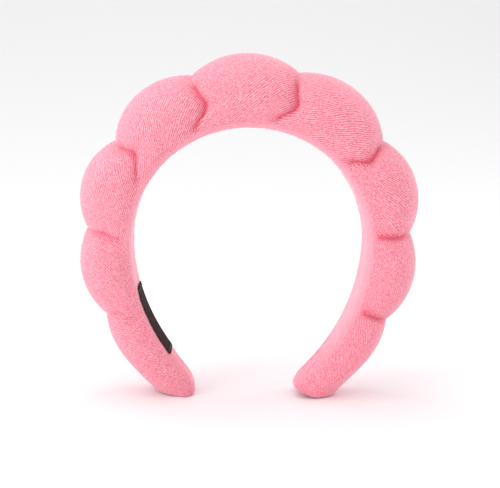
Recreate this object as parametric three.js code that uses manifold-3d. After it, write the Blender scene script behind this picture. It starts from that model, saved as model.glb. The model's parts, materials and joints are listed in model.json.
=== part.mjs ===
// Spa headband: a padded terry hoop that stands on its two ends.
// Millimetres. +Z is up, +X is to the right and the front faces -Y. The origin is on the resting plane,
// under the middle of the arch.
import * as THREE from "three";
import { mergeVertices } from "three/addons/utils/BufferGeometryUtils.js";
import Module from "manifold-3d";

const wasm = await Module();
wasm.setup();

// ---------------------------------------------------------------------------------------------------
// Driving dimensions
// ---------------------------------------------------------------------------------------------------

// The path is the lining's inner face, seen from the front. A place on the band is (s, u, n): s is the
// length along the path from the crown, u is the depth to the rear and n is the height off the lining.
const CROWN_RADIUS = 60.5;
const CROWN_HALF_ANGLE = THREE.MathUtils.degToRad(93);
const ARM_RADIUS = 98;
const CENTRE_HEIGHT = 81;
const TIP_AT = 180;

// The grooves that cinch each arm into puffs, from the crown down.
const GROOVE_AT = [18.5, 55.4, 90.1, 127.9];
const GROOVE_HEIGHT = [29.8, 25.6, 22.7, 19.6];
const GROOVE_PINCH = 2.2;
const GROOVE_GAP = 1.4;

// The puffs, from the crown down to the end of an arm: how high each stands and half its depth.
const PUFF_NAMES = ["crown", "upper", "mid", "low", "end"];
const PUFF_HEIGHT = [36.2, 34.6, 30.9, 27];
const END_PUFF_RISE = 3;
const PUFF_HALF_DEPTH = [23.5, 23.3, 22.5, 21.3, 18.8];
const PUFF_SQUARENESS = 2.4;
const END_PUFF_RISE_SHARE = 0.3;
const END_PUFF_TAPER_POWER = 1.5;
const TIP_HEIGHT = 20;
const TIP_HALF_DEPTH = 11.5;
const TIP_ROUNDING = 8;
const TIP_SQUARENESS = 2.6;
const TIP_LEAST_SCALE = 0.3;
const BASE_HALF_DEPTH = 16;
const BASE_TIP_HALF_DEPTH = 9.5;
const BASE_TAPER_START = 60;
const WIDEST_SHARE = 0.42;

// The layers.
const CLEARANCE = 0.35;
const COVER_WALL = 2;
const LINING_THICKNESS = 1;
const SEAM_GAP = 1.2;
const LINING_END = 171.4;
const SLOT_END = 172.4;
const SPARE = 1;
const HOOP_FLOOR = 2.3;
const HOOP_THICKNESS = 1.8;
const HOOP_CHAMFER = 0.4;
const HOOP_HALF_DEPTH = 9.5;
const HOOP_TIP_HALF_DEPTH = 5.5;
const HOOP_TAPER_START = 138;
const HOOP_TAPER_END = 154;
const HOOP_END = 168.4;
const TAPE_THICKNESS = 1.5;
const TAPE_HALF_DEPTH = 9;
const TAPE_END = 136;
const GUARD_START = 157;
const GUARD_WALL = 0.7;
const THREAD_RADIUS = 0.25;
const TIE_RADIUS = 0.35;

// The label, on the inner face of the left arm.
const LABEL_START = 118.5;
const LABEL_END = 158.5;
const LABEL_HALF_DEPTH = 9.8;
const LABEL_THICKNESS = 0.6;
const LABEL_STITCH_INSET = 2;
const LABEL_STITCH_MARGIN = 1;

// How far each arm opens: the first groove turns this much and the others a share of it.
const FIRST_OPENING = THREE.MathUtils.degToRad(9.5);
const OPENING_SHARES = [1, 0.85, 0.6, 0.35];
const WEDGE_SPARE = THREE.MathUtils.degToRad(0.4);
const HINGE_LINE = HOOP_FLOOR + HOOP_THICKNESS / 2;

// How finely the curves are divided.
const PUFF_STEPS = 8;
const DOME_STEPS = 16;
const BAND_STEPS = 57;
const GUARD_STEPS = 4;
const THREAD_SIDES = 6;
const WELD_DISTANCE = 1e-4;
const RESTING_BOX_SIDE = 600;

// ---------------------------------------------------------------------------------------------------
// The path and its sections
// ---------------------------------------------------------------------------------------------------

const CROWN_LENGTH = CROWN_RADIUS * CROWN_HALF_ANGLE;

// The arc that the path follows at s: its radius, its centre and the angle from straight up.
function arcAt(s) {
  const beyond = Math.abs(s) - CROWN_LENGTH;
  if (beyond <= 0) {
    return { radius: CROWN_RADIUS, x: 0, z: 0, angle: s / CROWN_RADIUS };
  }
  const side = Math.sign(s);
  const back = CROWN_RADIUS - ARM_RADIUS;
  return {
    radius: ARM_RADIUS,
    x: side * back * Math.sin(CROWN_HALF_ANGLE),
    z: back * Math.cos(CROWN_HALF_ANGLE),
    angle: side * (CROWN_HALF_ANGLE + beyond / ARM_RADIUS),
  };
}

function place(s, u, n) {
  const arc = arcAt(s);
  const reach = arc.radius + n;
  return new THREE.Vector3(arc.x + reach * Math.sin(arc.angle), u, arc.z + reach * Math.cos(arc.angle));
}

// A length at height n, as a length along the path below it.
function alongPath(s, n, length) {
  const radius = arcAt(s).radius;
  return (length * radius) / (radius + n);
}

// Half the depth of the band's flat inner face, which narrows towards the tips.
function baseHalfDepth(s) {
  const taper = THREE.MathUtils.smoothstep(Math.abs(s), BASE_TAPER_START, TIP_AT);
  return THREE.MathUtils.lerp(BASE_HALF_DEPTH, BASE_TIP_HALF_DEPTH, taper);
}

function slotHalfDepth(s) {
  return baseHalfDepth(s) - COVER_WALL;
}

function liningHalfDepth(s) {
  return slotHalfDepth(s) - SEAM_GAP;
}

// A puff's D-shaped section, as [u, n] pairs from the front base corner over the dome to the rear one.
function domeSection(size, inset, floor) {
  const half = size.half - inset;
  const widest = size.height * WIDEST_SHARE;
  const start = Math.acos((size.base - inset) / half);
  const under = (widest - floor) / Math.sin(start);
  const over = size.height - inset - widest;
  const points = [];
  for (let i = 0; i <= DOME_STEPS; i++) {
    const turn = Math.PI + start - ((Math.PI + 2 * start) * i) / DOME_STEPS;
    const rise = Math.sin(turn);
    points.push([half * Math.cos(turn), widest + rise * (rise > 0 ? over : under)]);
  }
  return points;
}

function boxSection(halfDepth, floor, top) {
  return [
    [-halfDepth, floor],
    [-halfDepth, top],
    [halfDepth, top],
    [halfDepth, floor],
  ];
}

function roundSection(u, n, radius) {
  const points = [];
  for (let i = 0; i < THREAD_SIDES; i++) {
    const turn = (-2 * Math.PI * i) / THREAD_SIDES;
    points.push([u + radius * Math.cos(turn), n + radius * Math.sin(turn)]);
  }
  return points;
}

// ---------------------------------------------------------------------------------------------------
// Solids
// ---------------------------------------------------------------------------------------------------

// Joins rings of equal length into one closed body. A loop has no end faces.
function loft(rings, isLoop = false) {
  const count = rings[0].length;
  const vertices = rings.flat().flatMap((point) => point.toArray());
  const faces = [];
  const links = isLoop ? rings.length : rings.length - 1;
  for (let r = 0; r < links; r++) {
    const next = (r + 1) % rings.length;
    for (let i = 0; i < count; i++) {
      const j = (i + 1) % count;
      const [a, b, c, d] = [r * count + i, r * count + j, next * count + j, next * count + i];
      faces.push(a, b, c, a, c, d);
    }
  }
  if (!isLoop) {
    const flat = flatten(rings[0]);
    for (const [a, b, c] of THREE.ShapeUtils.triangulateShape(flat, [])) {
      const last = (rings.length - 1) * count;
      faces.push(a, b, c, last + a, last + c, last + b);
    }
  }
  const geometry = new THREE.BufferGeometry();
  geometry.setAttribute("position", new THREE.Float32BufferAttribute(vertices, 3));
  geometry.setIndex(faces);
  return facingOut(geometry);
}

// A ring's points as flat coordinates in its own plane.
function flatten(ring) {
  const across = ring[ring.length - 1].clone().sub(ring[0]).normalize();
  const rough = ring[Math.floor(ring.length / 2)].clone().sub(ring[0]);
  const up = rough.addScaledVector(across, -rough.dot(across)).normalize();
  return ring.map((point) => {
    const from = point.clone().sub(ring[0]);
    return new THREE.Vector2(from.dot(across), from.dot(up));
  });
}

function facingOut(geometry) {
  if (signedVolume(geometry) < 0) {
    const index = geometry.index.array;
    for (let i = 0; i < index.length; i += 3) {
      [index[i + 1], index[i + 2]] = [index[i + 2], index[i + 1]];
    }
  }
  return geometry;
}

function signedVolume(geometry) {
  const position = geometry.getAttribute("position");
  const index = geometry.index.array;
  const corners = [new THREE.Vector3(), new THREE.Vector3(), new THREE.Vector3()];
  let volume = 0;
  for (let i = 0; i < index.length; i += 3) {
    corners.forEach((corner, k) => corner.fromBufferAttribute(position, index[i + k]));
    volume += corners[0].dot(corners[1].clone().cross(corners[2])) / 6;
  }
  return volume;
}

// A section swept along the band; its half depth can change along the way.
function sweep(sectionAt, from, to, steps) {
  const rings = [];
  for (let i = 0; i <= steps; i++) {
    const s = THREE.MathUtils.lerp(from, to, i / steps);
    rings.push(sectionAt(s).map(([u, n]) => place(s, u, n)));
  }
  return loft(rings);
}

function toManifold(geometry) {
  const bare = geometry.clone();
  bare.deleteAttribute("normal");
  bare.deleteAttribute("uv");
  const merged = mergeVertices(bare, WELD_DISTANCE);
  const vertProperties = merged.getAttribute("position").array;
  const triVerts = new Uint32Array(merged.index.array);
  return new wasm.Manifold(new wasm.Mesh({ numProp: 3, vertProperties, triVerts }));
}

function toGeometry(solid) {
  const mesh = solid.getMesh();
  const geometry = new THREE.BufferGeometry();
  geometry.setAttribute("position", new THREE.Float32BufferAttribute(mesh.vertProperties, 3));
  geometry.setIndex(Array.from(mesh.triVerts));
  return geometry;
}

// Everything higher than the given distance over the resting plane.
function aboveRestingPlane(distance) {
  const box = new THREE.BoxGeometry(RESTING_BOX_SIDE, RESTING_BOX_SIDE, RESTING_BOX_SIDE);
  box.translate(0, 0, distance - CENTRE_HEIGHT + RESTING_BOX_SIDE / 2);
  return toManifold(box);
}

// ---------------------------------------------------------------------------------------------------
// Puffs: the foam fillings and the terry cover round them
// ---------------------------------------------------------------------------------------------------

// The stretch of the path that a puff covers, and the groove at each end. The crown puff straddles s = 0.
function puffSpan(number) {
  if (number === 0) {
    return { from: -GROOVE_AT[0], to: GROOVE_AT[0], fromGroove: 0, toGroove: 0 };
  }
  const isLast = number === GROOVE_AT.length;
  return {
    from: GROOVE_AT[number - 1],
    to: isLast ? TIP_AT : GROOVE_AT[number],
    fromGroove: number - 1,
    toGroove: isLast ? null : number,
  };
}

// A puff's height and half depth at a share t of its length: lowest in the grooves, full in the middle.
function puffSize(number, t) {
  const { from, to, fromGroove, toGroove } = puffSpan(number);
  const base = baseHalfDepth(THREE.MathUtils.lerp(from, to, t));
  const swell = Math.sqrt(1 - Math.abs(2 * t - 1) ** PUFF_SQUARENESS);
  const pinched = PUFF_HALF_DEPTH[number] - GROOVE_PINCH;
  if (toGroove === null) {
    const rise = Math.sin((Math.min(1, t / END_PUFF_RISE_SHARE) * Math.PI) / 2);
    const taper = t ** END_PUFF_TAPER_POWER;
    return {
      base,
      height: THREE.MathUtils.lerp(GROOVE_HEIGHT[fromGroove] + END_PUFF_RISE * rise, TIP_HEIGHT, taper),
      half: THREE.MathUtils.lerp(pinched + GROOVE_PINCH * rise, TIP_HALF_DEPTH, taper),
    };
  }
  const low = THREE.MathUtils.lerp(GROOVE_HEIGHT[fromGroove], GROOVE_HEIGHT[toGroove], t);
  return {
    base,
    height: THREE.MathUtils.lerp(low, PUFF_HEIGHT[number], swell),
    half: pinched + GROOVE_PINCH * swell,
  };
}

// How far a puff's end stands back from the groove's middle at height n. The ends lean apart above the
// hoop, so that they clear each other when the arm is opened.
function endCut(groove, n) {
  if (groove === null) {
    return 0;
  }
  const lean = (FIRST_OPENING * OPENING_SHARES[groove]) / 2 + WEDGE_SPARE;
  const above = Math.max(0, n - HINGE_LINE);
  return alongPath(GROOVE_AT[groove], n, GROOVE_GAP / 2 + above * Math.tan(lean));
}

// One puff as a solid, drawn in by the inset on every side. With an overrun it reaches past its ends.
function puffSolid(number, inset, floor, overrun = 0) {
  const { from, to, fromGroove, toGroove } = puffSpan(number);
  const isLast = toGroove === null;
  const end = isLast ? to - inset : to;
  const steps = isLast ? PUFF_STEPS * 2 : PUFF_STEPS;
  const rings = [];
  const addRing = (t, shift) => {
    const closing = isLast ? Math.max(0, 1 - ((1 - t) * (end - from)) / TIP_ROUNDING) : 0;
    const scale = Math.max(TIP_LEAST_SCALE, (1 - closing ** TIP_SQUARENESS) ** (1 / TIP_SQUARENESS));
    const size = puffSize(number, t);
    const middle = size.height / 2;
    const ring = domeSection(size, inset, floor).map(([u, n]) => {
      const start = from + endCut(fromGroove, n);
      const finish = end - endCut(toGroove, n);
      const s = THREE.MathUtils.lerp(start, finish, t) + shift;
      return place(s, u * scale, middle + (n - middle) * scale);
    });
    rings.push(ring);
  };
  if (overrun > 0) {
    addRing(0, -overrun);
  }
  for (let i = 0; i <= steps; i++) {
    addRing((1 - Math.cos((Math.PI * i) / steps)) / 2, 0);
  }
  if (overrun > 0 && !isLast) {
    addRing(1, overrun);
  }
  return toManifold(loft(rings));
}

// A straight-sided channel under a puff, from past its first end to past its last one.
function channel(number, halfDepthAt, floor, top) {
  const { from, to, toGroove } = puffSpan(number);
  const finish = toGroove === null ? SLOT_END : to + GROOVE_GAP;
  const section = (s) => boxSection(halfDepthAt(s), floor, top);
  return toManifold(sweep(section, from - GROOVE_GAP, finish, PUFF_STEPS));
}

function coverGeometry(number) {
  const inside = puffSolid(number, COVER_WALL, COVER_WALL, SPARE).intersect(aboveRestingPlane(COVER_WALL));
  const slot = channel(number, slotHalfDepth, -SPARE, COVER_WALL + SPARE / 2);
  const outside = puffSolid(number, 0, 0).intersect(aboveRestingPlane(0));
  return toGeometry(outside.subtract(inside).subtract(slot));
}

function foamGeometry(number) {
  const inset = COVER_WALL + CLEARANCE;
  const top = HOOP_FLOOR + HOOP_THICKNESS + TAPE_THICKNESS + 2 * CLEARANCE;
  const body = puffSolid(number, inset, inset).intersect(aboveRestingPlane(inset));
  return toGeometry(body.subtract(channel(number, () => HOOP_HALF_DEPTH + CLEARANCE, -SPARE, top)));
}

// ---------------------------------------------------------------------------------------------------
// The hoop, its tape, tip guards and the ties in the grooves
// ---------------------------------------------------------------------------------------------------

function hoopHalfDepth(s) {
  const taper = THREE.MathUtils.smoothstep(Math.abs(s), HOOP_TAPER_START, HOOP_TAPER_END);
  return THREE.MathUtils.lerp(HOOP_HALF_DEPTH, HOOP_TIP_HALF_DEPTH, taper);
}

function hoopGeometry() {
  const top = HOOP_FLOOR + HOOP_THICKNESS;
  const section = (s) => {
    const half = hoopHalfDepth(s);
    return [
      [-half, HOOP_FLOOR + HOOP_CHAMFER],
      [-half, top - HOOP_CHAMFER],
      [-half + HOOP_CHAMFER, top],
      [half - HOOP_CHAMFER, top],
      [half, top - HOOP_CHAMFER],
      [half, HOOP_FLOOR + HOOP_CHAMFER],
      [half - HOOP_CHAMFER, HOOP_FLOOR],
      [-half + HOOP_CHAMFER, HOOP_FLOOR],
    ];
  };
  return sweep(section, -HOOP_END, HOOP_END, BAND_STEPS);
}

function tapeGeometry() {
  const floor = HOOP_FLOOR + HOOP_THICKNESS + CLEARANCE;
  const section = boxSection(TAPE_HALF_DEPTH, floor, floor + TAPE_THICKNESS);
  return sweep(() => section, -TAPE_END, TAPE_END, BAND_STEPS);
}

// A soft cap that is pushed onto the end of the hoop.
function guardGeometry() {
  const grown = CLEARANCE + GUARD_WALL;
  const top = HOOP_FLOOR + HOOP_THICKNESS;
  const outer = boxSection(HOOP_TIP_HALF_DEPTH + grown, HOOP_FLOOR - grown, top + grown);
  const pocket = boxSection(HOOP_TIP_HALF_DEPTH + CLEARANCE, HOOP_FLOOR - CLEARANCE, top + CLEARANCE);
  const cap = sweep(() => outer, GUARD_START, HOOP_END + grown, GUARD_STEPS);
  const hollow = sweep(() => pocket, GUARD_START - SPARE, HOOP_END + CLEARANCE, GUARD_STEPS);
  return toGeometry(toManifold(cap).subtract(toManifold(hollow)));
}

// A thread tied right round the hoop and the filling, in a groove. It leans against the puff on its
// crown side, and leaves the other puff room to close up.
function tieGeometry(groove) {
  const size = {
    base: baseHalfDepth(GROOVE_AT[groove]),
    height: GROOVE_HEIGHT[groove] - COVER_WALL,
    half: PUFF_HALF_DEPTH[groove] - GROOVE_PINCH,
  };
  const floor = (LINING_THICKNESS + HOOP_FLOOR) / 2;
  const loop = domeSection(size, COVER_WALL, floor);
  const middle = [0, size.height / 2];
  const rings = loop.map(([u, n], i) => {
    const before = loop[(i + loop.length - 1) % loop.length];
    const after = loop[(i + 1) % loop.length];
    const outward = new THREE.Vector2(before[1] - after[1], after[0] - before[0]).normalize();
    if (outward.dot(new THREE.Vector2(u - middle[0], n - middle[1])) < 0) {
      outward.negate();
    }
    const ring = [];
    for (let k = 0; k < THREAD_SIDES; k++) {
      const turn = (2 * Math.PI * k) / THREAD_SIDES;
      const across = u + outward.x * TIE_RADIUS * Math.cos(turn);
      const up = n + outward.y * TIE_RADIUS * Math.cos(turn);
      const along = GROOVE_AT[groove] - endCut(groove, up) + alongPath(GROOVE_AT[groove], up, GROOVE_GAP / 2);
      ring.push(place(along + TIE_RADIUS * Math.sin(turn), across, up));
    }
    return ring;
  });
  return loft(rings, true);
}

// ---------------------------------------------------------------------------------------------------
// The lining, its seams and the label
// ---------------------------------------------------------------------------------------------------

function liningGeometry() {
  const section = (s) => boxSection(liningHalfDepth(s), 0, LINING_THICKNESS);
  return sweep(section, -LINING_END, LINING_END, BAND_STEPS);
}

// The thread that joins one edge of the lining to the cover. The side is -1 in front and 1 at the rear.
function seamGeometry(side) {
  const section = (s) => {
    const u = side * (liningHalfDepth(s) + SEAM_GAP / 2);
    return roundSection(u, LINING_THICKNESS / 2, THREAD_RADIUS);
  };
  return sweep(section, -LINING_END, LINING_END, BAND_STEPS);
}

// A straight thread across the band, centred at (s, n).
function crossThread(s, n, halfLength) {
  const ring = (u) => roundSection(s, n, THREAD_RADIUS).map(([along, up]) => place(along, u, up));
  return loft([ring(-halfLength), ring(halfLength)]);
}

function labelGeometry() {
  const top = -CLEARANCE;
  const section = boxSection(LABEL_HALF_DEPTH, top - LABEL_THICKNESS, top);
  return sweep(() => section, LABEL_START, LABEL_END, PUFF_STEPS);
}

// ---------------------------------------------------------------------------------------------------
// Materials and assembly
// ---------------------------------------------------------------------------------------------------

function material(color, roughness) {
  return new THREE.MeshStandardMaterial({ color, roughness });
}

const TERRY = material(0xfbb0bf, 0.95);
const PLUSH = material(0xfdc6d2, 0.9);
const FOAM = material(0xf6efe2, 0.9);
const HOOP_PLASTIC = material(0xe9e9e4, 0.4);
const TAPE_FOAM = material(0xdedad4, 0.85);
const GUARD_RUBBER = material(0xd8d8d2, 0.6);
const THREAD = material(0xf28fa5, 0.8);
const LABEL_RIBBON = material(0x463838, 0.7);
const LABEL_THREAD = material(0x5b4c4c, 0.8);

function piece(name, geometry, itsMaterial) {
  geometry.computeVertexNormals();
  const mesh = new THREE.Mesh(geometry, itsMaterial);
  mesh.name = name;
  return mesh;
}

// The pieces that run the whole length of the band, and the crown puff.
function crownGroup() {
  const group = new THREE.Group();
  group.add(piece("hoop_core", hoopGeometry(), HOOP_PLASTIC));
  group.add(piece("hoop_tape", tapeGeometry(), TAPE_FOAM));
  group.add(piece("lining_strip", liningGeometry(), PLUSH));
  group.add(piece("lining_seam_front", seamGeometry(-1), THREAD));
  group.add(piece("lining_seam_rear", seamGeometry(1), THREAD));
  group.add(piece("crown_foam", foamGeometry(0), FOAM));
  group.add(piece("crown_cover", coverGeometry(0), TERRY));
  return group;
}

// One arm, built on the +X side.
function armGroup(side) {
  const group = new THREE.Group();
  for (let number = 1; number < PUFF_NAMES.length; number++) {
    group.add(piece(`${side}_${PUFF_NAMES[number]}_foam`, foamGeometry(number), FOAM));
    group.add(piece(`${side}_${PUFF_NAMES[number]}_cover`, coverGeometry(number), TERRY));
    group.add(piece(`${side}_tie_${number}`, tieGeometry(number - 1), THREAD));
  }
  const seamAt = (LINING_END + SLOT_END) / 2;
  const endSeam = crossThread(seamAt, LINING_THICKNESS / 2, liningHalfDepth(seamAt) - CLEARANCE);
  group.add(piece(`${side}_tip_guard`, guardGeometry(), GUARD_RUBBER));
  group.add(piece(`${side}_end_seam`, endSeam, THREAD));
  return group;
}

function labelGroup() {
  const group = new THREE.Group();
  const stitchLine = -2 * CLEARANCE - LABEL_THICKNESS - THREAD_RADIUS;
  const halfLength = LABEL_HALF_DEPTH - LABEL_STITCH_MARGIN;
  const upper = crossThread(LABEL_START + LABEL_STITCH_INSET, stitchLine, halfLength);
  const lower = crossThread(LABEL_END - LABEL_STITCH_INSET, stitchLine, halfLength);
  group.add(piece("label_ribbon", labelGeometry(), LABEL_RIBBON));
  group.add(piece("label_stitch_upper", upper, LABEL_THREAD));
  group.add(piece("label_stitch_lower", lower, LABEL_THREAD));
  return group;
}

const rightArm = armGroup("right");
const leftArm = armGroup("left");
leftArm.add(labelGroup());
leftArm.scale.x = -1;

const arch = new THREE.Group();
arch.add(crownGroup(), rightArm, leftArm);
arch.position.z = CENTRE_HEIGHT;

const headband = new THREE.Group();
headband.name = "spa_headband";
headband.add(arch);

export default headband;
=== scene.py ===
"""Spa headband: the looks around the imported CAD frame. Metres, +Z up, the front faces -Y."""
import json
import math

import bpy
import numpy as np
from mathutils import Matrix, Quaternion, Vector


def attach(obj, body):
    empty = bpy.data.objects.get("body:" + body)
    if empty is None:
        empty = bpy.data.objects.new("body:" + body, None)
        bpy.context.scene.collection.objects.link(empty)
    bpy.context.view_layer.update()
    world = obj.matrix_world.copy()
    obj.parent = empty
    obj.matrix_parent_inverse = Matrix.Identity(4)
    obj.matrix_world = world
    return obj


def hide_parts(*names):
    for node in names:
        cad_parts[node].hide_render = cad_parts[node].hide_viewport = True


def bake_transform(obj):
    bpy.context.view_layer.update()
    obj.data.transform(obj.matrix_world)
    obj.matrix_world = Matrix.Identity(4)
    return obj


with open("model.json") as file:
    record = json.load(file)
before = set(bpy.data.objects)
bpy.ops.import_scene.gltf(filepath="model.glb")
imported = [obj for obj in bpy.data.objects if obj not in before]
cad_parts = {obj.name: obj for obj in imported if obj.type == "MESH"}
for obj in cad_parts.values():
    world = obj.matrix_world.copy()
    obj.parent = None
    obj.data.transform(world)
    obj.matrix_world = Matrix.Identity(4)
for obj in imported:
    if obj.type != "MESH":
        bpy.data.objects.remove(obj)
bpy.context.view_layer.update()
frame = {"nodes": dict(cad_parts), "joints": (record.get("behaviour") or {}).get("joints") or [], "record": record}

MM = 0.001
TINY = 1e-12
SEED = 11
SIDES = (("left", -1), ("right", 1))

# ---------------------------------------------------------------------------------------------------
# The band's path, from the frame. A place on the band is (s, u, n): s is the length along the lining's
# face from the crown, u is the depth to the rear and n is the height off the lining. s is negative on
# the left arm.
# ---------------------------------------------------------------------------------------------------

CROWN_HALF_ANGLE = math.radians(93)
ARM_RADIUS = 98 * MM
HINGE_LEVEL = 3.2 * MM


def crown_circle(first, second):
    """The height of the crown arc's centre and its radius, from two hinges that lie on it."""
    (x1, _, z1), (x2, _, z2) = first["pos_m"], second["pos_m"]
    centre = (x2 * x2 - x1 * x1 + z2 * z2 - z1 * z1) / (2 * (z2 - z1))
    return centre, math.hypot(x1, z1 - centre) - HINGE_LEVEL


joints = {j["name"]: j for j in frame["joints"]}
CENTRE_Z, CROWN_RADIUS = crown_circle(joints["right_upper_flex"], joints["right_mid_flex"])
CROWN_LENGTH = CROWN_RADIUS * CROWN_HALF_ANGLE


def arc_at(s):
    """The arc that the path follows at s: its radius, its centre and the angle from straight up."""
    s = np.asarray(s, float)
    side = np.sign(s)
    beyond = np.abs(s) - CROWN_LENGTH
    on_arm = beyond > 0
    back = CROWN_RADIUS - ARM_RADIUS
    radius = np.where(on_arm, ARM_RADIUS, CROWN_RADIUS)
    x = np.where(on_arm, side * back * math.sin(CROWN_HALF_ANGLE), 0)
    z = CENTRE_Z + np.where(on_arm, back * math.cos(CROWN_HALF_ANGLE), 0)
    angle = np.where(on_arm, side * (CROWN_HALF_ANGLE + beyond / ARM_RADIUS), s / CROWN_RADIUS)
    return radius, x, z, angle


def place(s, u, n):
    """Points in the frame, from places on the band."""
    radius, x, z, angle = arc_at(s)
    reach = radius + n
    return np.stack(np.broadcast_arrays(x + reach * np.sin(angle), u, z + reach * np.cos(angle)), -1)


def to_band(points):
    """The places on the band, as s, u and n, of points in the frame."""
    x, u, z = points[:, 0], points[:, 1], points[:, 2] - CENTRE_Z
    angle = np.arctan2(x, z)
    side = np.sign(x)
    back = CROWN_RADIUS - ARM_RADIUS
    arm_x = x - side * back * math.sin(CROWN_HALF_ANGLE)
    arm_z = z - back * math.cos(CROWN_HALF_ANGLE)
    arm_angle = np.arctan2(arm_x * side, arm_z)
    on_arm = np.abs(angle) > CROWN_HALF_ANGLE
    arm_s = side * (CROWN_LENGTH + ARM_RADIUS * (arm_angle - CROWN_HALF_ANGLE))
    s = np.where(on_arm, arm_s, angle * CROWN_RADIUS)
    n = np.where(on_arm, np.hypot(arm_x, arm_z) - ARM_RADIUS, np.hypot(x, z) - CROWN_RADIUS)
    return s, u, n


def node_band(node):
    """The places on the band of a CAD node's vertices."""
    mesh = frame["nodes"][node].data
    co = np.zeros(len(mesh.vertices) * 3)
    mesh.vertices.foreach_get("co", co)
    return to_band(co.reshape(-1, 3))


def hinge_path(joint):
    """The path length that a hinge lies at."""
    return float(to_band(np.array([joint["pos_m"]], float))[0][0])


PUFFS = ["upper", "mid", "low", "end"]
GROOVES = np.array([hinge_path(joints[f"right_{puff}_flex"]) for puff in PUFFS])
end_s, end_u, end_n = node_band("right_end_cover")
TIP_AT = float(end_s.max())
MIDDLES = np.append((np.append(0, GROOVES[:3]) + GROOVES) / 2, TIP_AT)
MIDDLES[0] = 0


def crest(node):
    """The height and half depth of a CAD cover at its fullest."""
    _, u, n = node_band(node)
    return float(n.max()), float(np.abs(u).max())


def even_curve(at, values):
    """A smooth curve through values at path lengths, the same on both arms."""
    at = np.asarray(at)
    powers = range(0, 2 * len(at), 2)
    scaled = np.stack([(at / TIP_AT) ** p for p in powers], -1)
    factors = np.linalg.lstsq(scaled, np.asarray(values), rcond=None)[0]
    return lambda s: sum(f * (np.abs(s) / TIP_AT) ** p for f, p in zip(factors, powers))


cover_names = ["crown_cover"] + [f"right_{puff}_cover" for puff in PUFFS[:3]]
crests = [crest(name) for name in cover_names]
END_PEAK_AT = GROOVES[3] + 16 * MM
TIP_PEAK_AT = TIP_AT - 12 * MM
PEAK_WINDOW = 3 * MM
for peak_at in (END_PEAK_AT, TIP_PEAK_AT):
    near_peak = np.abs(end_s - peak_at) < PEAK_WINDOW
    crests.append((end_n[near_peak].max(), np.abs(end_u[near_peak]).max()))
crest_at = list(MIDDLES[:4]) + [END_PEAK_AT, TIP_PEAK_AT]
crest_height = even_curve(crest_at, [height for height, half in crests])
crest_half = even_curve(crest_at, [half for height, half in crests])

GROOVE_WINDOW = 2.6 * MM


def groove_height(number):
    """The height of the CAD covers where they meet groove number, on the right arm."""
    covers = ["crown_cover"] + [f"right_{puff}_cover" for puff in PUFFS]
    heights = []
    for name in covers[number : number + 2]:
        s, _, n = node_band(name)
        end = np.abs(np.abs(s) - GROOVES[number]) < GROOVE_WINDOW
        heights.append(n[end].max())
    return min(heights)


GROOVE_DEPTHS = np.array([crest_height(at) - groove_height(number) for number, at in enumerate(GROOVES)])

# ---------------------------------------------------------------------------------------------------
# The padded sleeve's form
# ---------------------------------------------------------------------------------------------------

# The section: half the depth of its base, and how high up it is widest.
BASE_HALF = 16 * MM
BASE_TIP_HALF = 9.5 * MM
BASE_TAPER_START = 60 * MM
WIDEST_SHARE = 0.42
# The tips: how they round off and what share of the section is left at the seam.
TIP_ROUNDING = 11 * MM
TIP_SQUARENESS = 3
TIP_SEAM_SHARE = 0.7
TIP_SEAM_LEVEL = 0.62
# How the arms stand: how far each tip turns out and reaches on, and the right end's slant.
TUCK_START = 150 * MM
LEFT_TUCK = 3.2 * MM
RIGHT_TUCK = 1.2 * MM
LEFT_REACH = 4 * MM
RIGHT_REACH = 4.5 * MM
RIGHT_SLANT = 7 * MM
# The soles: how the tips narrow and flatten where they rest.
FOOT_HEIGHT = 12 * MM
FOOT_SHARE = 0.66
REST_SOFTNESS = 1.6 * MM
GROUND_GAP = 0.02 * MM
SOLE_EDGE = 38 * MM
SOLE_SLANT = 0.38
# The hem: the terry's edge, turned in under the lining.
HEM_WIDTH = 4.2 * MM
HEM_LIFT = 0.9 * MM
HEM_TURN = (0.35, 0.7)
# The grid. The end puffs are longer, so their columns are wider and each piece has about as many faces.
HEM_ROWS = 10
DOME_ROWS = 383
COLUMN_STEP = 0.22 * MM
END_COLUMN_STEP = 0.3 * MM
TIP_COLUMNS = 36
# The simulation runs on every sixth column and row, and the counts make whole coarse cells.
COARSE = 6


def smoothstep(low, high, x):
    """0 below low, 1 above high and smooth between."""
    t = np.clip((x - low) / (high - low), 0, 1)
    return t * t * (3 - 2 * t)


def base_half(s):
    """Half the depth of the section's base, which narrows towards the tips."""
    taper = smoothstep(BASE_TAPER_START, TIP_AT, np.abs(s))
    return BASE_HALF + (BASE_TIP_HALF - BASE_HALF) * taper


def closing(s):
    """1 along the band, and falling to 0 at the tips, where the end is drawn together."""
    x = np.clip((np.abs(s) - TIP_AT + TIP_ROUNDING) / TIP_ROUNDING, 0, 1)
    return (1 - x**TIP_SQUARENESS) ** (1 / TIP_SQUARENESS)


def settle(s, n):
    """The arms as they stand: inner faces that turn out towards the tips, and a slanted right end."""
    onward = np.clip((np.abs(s) - TUCK_START) / (TIP_AT - TUCK_START), 0, 1) ** 2
    outer = np.clip(n / crest_height(s), 0, 1)
    turned = np.where(s < 0, LEFT_TUCK, RIGHT_TUCK) * onward * (1 - outer)
    reach = np.where(s < 0, -LEFT_REACH, RIGHT_REACH - RIGHT_SLANT * outer)
    return s + reach * onward, n + turned


def sole(x):
    """The height that the tips are flattened at: the ground, and up a slant inwards on the right tip."""
    return np.where(x > 0, SOLE_SLANT * np.clip(SOLE_EDGE - x, 0, None), 0)


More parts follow.
